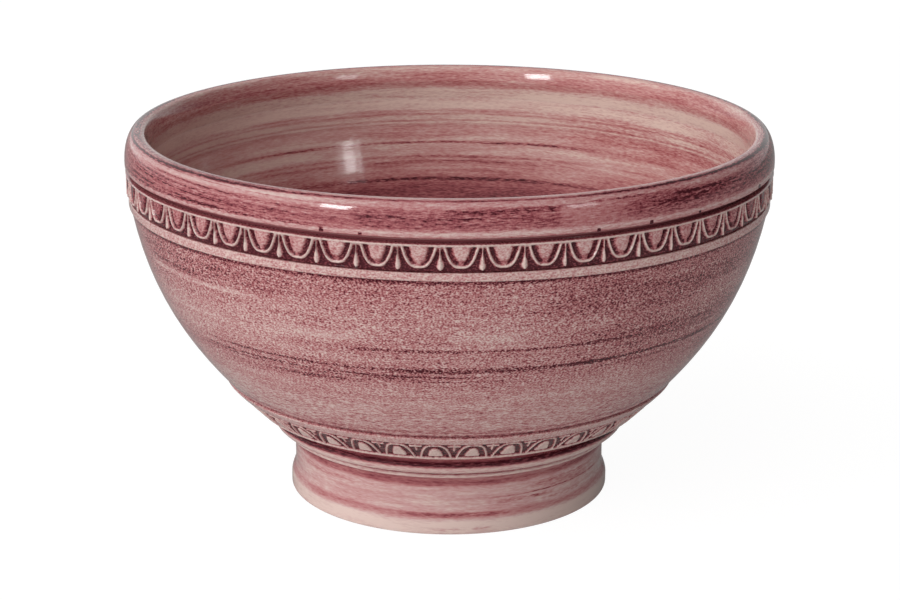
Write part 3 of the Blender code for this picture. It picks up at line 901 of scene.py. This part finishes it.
ornament_glaze = glazed("ornament_glaze", ())
lower_egg_band = egg_band(
    "lower_egg_band",
    low=on_wall(LOWER_EGGS[0], LOWER_SEAT_BACK),
    high=on_wall(LOWER_EGGS[1], LOWER_SEAT_BACK),
    proud=0.0018,
    deepest=0.0008,
    count=37,
    first=math.radians(-3.5),
    drop=0.0004,
    relief_of=lower_relief,
    inverted=True,
    seed=5,
)
finish_piece(lower_egg_band, "lower_egg_band", ornament_glaze)
upper_back = upper_seat_radius + SLIP_DEPTH
upper_egg_band = egg_band(
    "upper_egg_band",
    low=Vector((upper_back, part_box("upper_egg_band")[0].z)),
    high=Vector((upper_back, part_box("upper_egg_band")[1].z)),
    proud=0.0031,
    deepest=0.0014,
    count=54,
    first=math.radians(1.9),
    drop=0.0010,
    relief_of=upper_relief,
    inverted=False,
    seed=11,
)
finish_piece(upper_egg_band, "upper_egg_band", ornament_glaze)

# Two plain fillets. Each is a flat ribbon of clay pressed into its seat, one over the lower eggs and
# one under the upper eggs, and left almost unpainted.
FILLET_ROUND = 0.0004
FILLET_TONES = ((0.0, 0.9), (0.08, 0.3), (0.20, 0.28), (0.80, 0.25), (0.92, 0.4), (1.0, 0.9))
FILLET_MARKS = (0.80, 0.30, 0.3)  # speckle, streaks and dashes
LOWER_FILLET = (0.0448, 0.0480)  # heights


def fillet(name, low, high, proud):
    length = (high - low).length
    inward = proud - FILLET_ROUND
    start = arc((FILLET_ROUND, inward), FILLET_ROUND, FILLET_ROUND, math.pi, math.pi / 2, 4)
    end = arc((length - FILLET_ROUND, inward), FILLET_ROUND, FILLET_ROUND, math.pi / 2, 0.0, 4)
    front = [(point.x, point.y) for point in start + straight(start[-1], end[0], 6)[1:-1] + end]
    outline = painted_across(strip_outline(low, high, front), FILLET_TONES, FILLET_MARKS)
    piece = turned(name, outline, ring_depth=0.0)
    finish_piece(piece, name, cream_glaze)


fillet(
    "lower_fillet",
    low=on_wall(LOWER_FILLET[0], LOWER_SEAT_BACK),
    high=on_wall(LOWER_FILLET[1], LOWER_SEAT_BACK),
    proud=0.0018,
)
fillet(
    "upper_fillet",
    low=Vector((upper_back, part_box("upper_fillet")[0].z)),
    high=Vector((upper_back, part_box("upper_fillet")[1].z)),
    proud=0.0022,
)

# Rim. A thick coil is set on the wall and thrown into a leaning collar and a rounded lip. Its lower
# edge overhangs a groove, and the brush has left broad strokes on its face.
COLLAR_HEIGHT = 0.0129
COLLAR_EDGE_ROUND = 0.0006
COLLAR_LEAN = 0.0021
GROOVE_DEPTH = 0.0027
LIP_THICKNESS = 0.0054
INNER_ROUND_LOW = 0.1388
LIP_OVERHANG = 0.0010  # how far the thick coil stands in over the wall
INNER_CORNER = Vector((0.0028, 0.0010))  # inwards from the lip's middle, and down from its top
FACE_PULL = Vector((0.0, 0.0012))  # how far each curve runs straight on before it bends
CORNER_PULL = Vector((0.0006, 0.0012))
LIP_RISE_PULL = Vector((0.00022, 0.00045))
LIP_TOP_PULL = Vector((0.0016, 0.0))
COLLAR_TOP_PULL = Vector((0.0024, 0.0))
COLLAR_FACE_PULL = 0.0084  # heights above the collar's lower edge
COLLAR_FACE_END = 0.0018
# From 0.1430 to 0.1442, just under the dark ring below the lip, the collar is paler: a painted
# reflection.
COLLAR_TONES = (
    (0.1323, 0.85), (0.1327, 0.50), (0.1330, 0.12), (0.1338, 0.09), (0.1343, 0.28), (0.1349, 0.50),
    (0.1360, 0.62), (0.1400, 0.61), (0.1415, 0.58), (0.1424, 0.52), (0.1430, 0.40), (0.1442, 0.42),
    (0.1445, 0.80), (0.1448, 0.80), (0.1449, 0.45), (0.1452, 0.36),
)
collar_low = bowl_height - COLLAR_HEIGHT
inner_low = Vector((mouth_radius, wall_top))
inner_high = Vector((mouth_radius - LIP_OVERHANG, INNER_ROUND_LOW))
inner_face = straight(inner_low, inner_high, 12)
lip_top = Vector((rim_radius - COLLAR_LEAN - LIP_THICKNESS / 2, bowl_height))
inner_corner = lip_top - INNER_CORNER
roll_curve = (inner_high, inner_high + FACE_PULL, inner_corner - CORNER_PULL, inner_corner)
lip_curve = (inner_corner, inner_corner + LIP_RISE_PULL, lip_top - LIP_TOP_PULL, lip_top)
inner_lip = curve_points(roll_curve, 14) + curve_points(lip_curve, 14)[1:]
collar_curve = (
    lip_top,
    lip_top + COLLAR_TOP_PULL,
    Vector((rim_radius, collar_low + COLLAR_FACE_PULL)),
    Vector((rim_radius, collar_low + COLLAR_FACE_END)),
)
collar_face = curve_points(collar_curve, 48)
edge_centre = (rim_radius - COLLAR_EDGE_ROUND, collar_low + COLLAR_EDGE_ROUND)
edge = arc(edge_centre, COLLAR_EDGE_ROUND, COLLAR_EDGE_ROUND, 0.0, -math.pi / 2, 6)
groove_radius = rim_radius - GROOVE_DEPTH
underneath = [Vector((groove_radius, z)) for z in (collar_low, wall_top)]
inner_points = inner_face + inner_lip[1:]
collar_points = collar_face[1:] + edge[1:]
collar_outline = painted(inner_points, INSIDE_TONES, stipple=0.25, streak=1.2, dash=1.0)
collar_outline += painted(collar_points, COLLAR_TONES, stipple=0.42, streak=0.70, dash=0.7)
collar_outline += painted(underneath, 0.54, stipple=0.0, streak=0.2, dash=0.0)

# The first strokes lie along the top of the lip. The two inside ones darken the far rim's outer edge
# at its left and right: painted shade.
lip_run = mouth_run + runs_of(collar_outline)[len(inner_points) - 1]
collar_strokes_and_shading = [
    ("outside", -66.0, 56.0, lip_run, 0.0, 0.0030, 0.50, 0.24),
    ("outside", 74.0, 50.0, lip_run, 0.0, 0.0030, 0.50, 0.18),
    ("inside", -42.0, 70.0, lip_run, 0.0, 0.0015, 0.40, 0.50),
    ("inside", 50.0, 56.0, lip_run, 0.0, 0.0015, 0.40, 0.42),
]
COLLAR_STROKES_AND_SHADING = (
    (-60.0, 44.0, 0.1385, 0.0, 0.0060, 0.40, 0.05),
    (-52.0, 44.0, 0.1445, 0.0, 0.0009, 0.40, 0.16),
    (-50.0, 38.0, 0.1346, 0.0, 0.0012, 0.40, 0.34),
    (-38.0, 22.0, 0.1434, -0.0010, 0.0012, 0.50, -0.16),
    # This broad band darkens the collar's right side, painted shade.
    (60.0, 36.0, 0.1390, 0.0, 0.0060, 0.40, 0.18),
    (52.0, 38.0, 0.1446, 0.0, 0.0014, 0.40, 0.20),
    # This band darkens the collar's far right end, painted shade.
    (100.0, 48.0, 0.1438, 0.0, 0.0030, 0.50, 0.22),
    (-58.0, 26.0, 0.1364, 0.0060, 0.0014, 0.50, 0.06),
    (-48.0, 34.0, 0.1424, 0.0020, 0.0009, 0.40, -0.14),
    (-46.0, 30.0, 0.1436, 0.0050, 0.0003, 0.50, 0.22),
    (-44.0, 30.0, 0.1414, 0.0064, 0.0004, 0.50, 0.22),
    (-46.0, 26.0, 0.1406, 0.0064, 0.0004, 0.50, -0.16),
    (-48.0, 28.0, 0.1398, 0.0064, 0.0004, 0.50, 0.20),
    (-50.0, 26.0, 0.1388, 0.0064, 0.0003, 0.50, 0.14),
    (-50.0, 26.0, 0.1380, 0.0064, 0.0004, 0.50, 0.20),
    (-56.0, 20.0, 0.1371, 0.0050, 0.0005, 0.50, -0.16),
    (-54.0, 22.0, 0.1360, 0.0050, 0.0004, 0.50, 0.16),
    (-26.0, 12.0, 0.1380, 0.0040, 0.0012, 0.60, 0.08),
    (1.0, 17.0, 0.1387, 0.0, 0.0050, 0.10, 0.12),
    (8.5, 9.5, 0.1417, 0.0, 0.0015, 0.08, 0.17),
    (-4.0, 14.0, 0.1390, 0.0, 0.0008, 0.30, 0.10),
    (24.0, 7.0, 0.1385, 0.0, 0.0045, 0.50, -0.10),
    (28.0, 6.0, 0.1428, 0.0, 0.0006, 0.50, 0.34),
    (45.0, 8.0, 0.1412, 0.0, 0.0007, 0.50, 0.26),
    (44.0, 12.0, 0.1392, 0.0, 0.0016, 0.60, 0.12),
    (-20.4, 0.50, 0.1334, 0.0, 0.0011, 0.60, 0.9),
    (-14.0, 0.42, 0.1332, 0.0, 0.0007, 0.60, 0.7),
    (24.1, 0.36, 0.1330, 0.0, 0.0008, 0.60, 2.2),
    (34.0, 0.42, 0.1331, 0.0, 0.0009, 0.60, 2.4),
    (44.8, 0.38, 0.1330, 0.0, 0.0006, 0.60, 1.2),
    (65.3, 0.80, 0.1332, 0.0, 0.0010, 0.60, 2.2),
)
rim_collar = turned("rim_collar", collar_outline, start=mouth_run, ring_depth=0.0)
collar_strokes_and_shading += placed(COLLAR_STROKES_AND_SHADING, "outside", collar_outline, mouth_run)
collar_glaze = glazed("collar_glaze", collar_strokes_and_shading, lip_run)
finish_piece(rim_collar, "rim_collar", collar_glaze)

# Studio. A pale floor and a surround that glows to the left of the camera. Five small lamps are there
# only to be mirrored in the glaze. The camera sees floor and surround as white.
CAMERA_DISTANCE = 0.91865
CAMERA_PITCH = math.radians(16.555)
CAMERA_ROLL = math.radians(0.157)
CAMERA_LENS = 93.07
LOOK_AT = Vector((0.00029, 0.0, 0.07395))
LAMP_DISTANCE = 1.3
FLOOR_RADIUS = 6.0
FLOOR_COLOUR = (0.90, 0.89, 0.88, 1.0)
SEEN_WHITE = 1.08  # what the camera sees of the floor, and how much that covers its shading
SEEN_SHARE = 0.88
MIRRORED_COLOUR = (1.0, 0.98, 0.97, 1.0)
MIRRORED_GLOW = 0.20  # what the glaze mirrors of the floor, and how much that covers the rest
MIRRORED_SHARE = 0.8

camera_data = bpy.data.cameras.new("camera")
camera_data.lens = CAMERA_LENS
camera_data.sensor_width = 36.0
camera = bpy.data.objects.new("camera", camera_data)
bpy.context.scene.collection.objects.link(camera)
back = Vector((0.0, -math.cos(CAMERA_PITCH), math.sin(CAMERA_PITCH)))
turn = Matrix.Rotation(math.pi / 2 - CAMERA_PITCH, 4, "X") @ Matrix.Rotation(CAMERA_ROLL, 4, "Z")
camera.matrix_world = Matrix.Translation(LOOK_AT + CAMERA_DISTANCE * back) @ turn
bpy.context.scene.camera = camera


def mirrored_lamp(name, around, climb, size, power, seen_in):
    """A lamp, placed in degrees from the front and up, that shows only as a gleam on some pieces."""
    lamp_data = bpy.data.lights.new(name, "AREA")
    lamp_data.shape = "RECTANGLE"
    lamp_data.size, lamp_data.size_y = size
    lamp_data.energy = power
    lamp = bpy.data.objects.new(name, lamp_data)
    around = math.radians(around)
    climb = math.radians(climb)
    level = math.cos(climb)
    towards = Vector((level * math.sin(around), -level * math.cos(around), math.sin(climb)))
    middle = Vector((0.0, 0.0, bowl_height / 2))
    facing = towards.to_track_quat("Z", "Y").to_matrix().to_4x4()
    lamp.matrix_world = Matrix.Translation(middle + LAMP_DISTANCE * towards) @ facing
    lamp.visible_diffuse = False
    lamp.light_linking.receiver_collection = bpy.data.collections.new(name + "_gleams")
    for piece in seen_in:
        lamp.light_linking.receiver_collection.objects.link(piece)
    bpy.context.scene.collection.objects.link(lamp)


mirrored_lamp("key_lamp", -38.9, 28.5, (0.21, 0.21), 2.7, (rim_collar, upper_egg_band))
mirrored_lamp("side_lamp", 46.0, 28.0, (0.20, 0.16), 0.45, (rim_collar,))
mirrored_lamp("panel_lamp", 44.8, 18.5, (0.24, 0.22), 0.25, (bowl_body,))
mirrored_lamp("strip_lamp", 44.6, 18.3, (0.11, 0.21), 0.54, (bowl_body,))
mirrored_lamp("edge_lamp", 40.0, 18.7, (0.03, 0.26), 0.10, (bowl_body,))

floor_shape = bmesh.new()
bmesh.ops.create_circle(floor_shape, cap_ends=True, segments=96, radius=FLOOR_RADIUS)
floor_mesh = bpy.data.meshes.new("floor")
floor_shape.to_mesh(floor_mesh)
floor_shape.free()
floor_object = bpy.data.objects.new("floor", floor_mesh)
bpy.context.scene.collection.objects.link(floor_object)
floor_material = bpy.data.materials.new("pale_floor")
floor_material.use_nodes = True
tree = floor_material.node_tree
surface = tree.nodes["Principled BSDF"]
surface.inputs["Base Color"].default_value = FLOOR_COLOUR
surface.inputs["Roughness"].default_value = 0.9
surface.inputs["Specular IOR Level"].default_value = 0.0
white = add_node(tree, "ShaderNodeEmission", (1.0, 1.0, 1.0, 1.0), SEEN_WHITE)
dim = add_node(tree, "ShaderNodeEmission", MIRRORED_COLOUR, MIRRORED_GLOW)
rays = add_node(tree, "ShaderNodeLightPath").outputs
seen_share = calc(tree, "MULTIPLY", rays["Is Camera Ray"], SEEN_SHARE)
seen = add_node(tree, "ShaderNodeMixShader", seen_share)
tree.links.new(surface.outputs[0], seen.inputs[1])
tree.links.new(white.outputs[0], seen.inputs[2])
mirrored_share = calc(tree, "MULTIPLY", rays["Is Glossy Ray"], MIRRORED_SHARE)
reflected = add_node(tree, "ShaderNodeMixShader", mirrored_share)
tree.links.new(seen.outputs[0], reflected.inputs[1])
tree.links.new(dim.outputs[0], reflected.inputs[2])
tree.links.new(reflected.outputs[0], tree.nodes["Material Output"].inputs["Surface"])
floor_mesh.materials.append(floor_material)

AMBIENT = 0.205
LEFT_GLOW = 3.2  # strength of the broad soft light to the left of the camera
LEFT_GLOW_WAY = (-0.69, -0.66, 0.30)
LEFT_GLOW_FOCUS = 3.0
SURROUND_SIDES = (0.45, 0.07)  # what the glaze mirrors at the left and at the right
SURROUND_BEHIND = 0.50  # the lit backdrop behind the bowl, and where it begins and is full
BEHIND_DEPTH = (0.2, 0.9)
world = bpy.data.worlds.new("studio")
world.use_nodes = True
bpy.context.scene.world = world
tree = world.node_tree
background = tree.nodes["Background"]
rays = add_node(tree, "ShaderNodeLightPath").outputs
way = add_node(tree, "ShaderNodeTexCoord").outputs["Generated"]
side, depth, _ = add_node(tree, "ShaderNodeSeparateXYZ", way).outputs
sides = add_node(tree, "ShaderNodeMapRange", side, -1.0, 1.0, *SURROUND_SIDES).outputs[0]
behind = smooth_step(tree, depth, *BEHIND_DEPTH)
surround = calc(tree, "MULTIPLY_ADD", behind, SURROUND_BEHIND, sides)
towards_glow = add_node(tree, "ShaderNodeVectorMath", way, LEFT_GLOW_WAY, operation="DOT_PRODUCT")
nearness = calc(tree, "MAXIMUM", towards_glow.outputs["Value"], 0.0)
glow = calc(tree, "POWER", nearness, LEFT_GLOW_FOCUS)
soft_light = calc(tree, "MULTIPLY_ADD", glow, LEFT_GLOW, AMBIENT)
level = mixed(tree, rays["Is Glossy Ray"], soft_light, surround)
level = mixed(tree, rays["Is Camera Ray"], level, 1.0)
tree.links.new(level, background.inputs["Strength"])
background.inputs["Color"].default_value = (1.0, 1.0, 1.0, 1.0)
bpy.context.scene.view_settings.view_transform = "Standard"
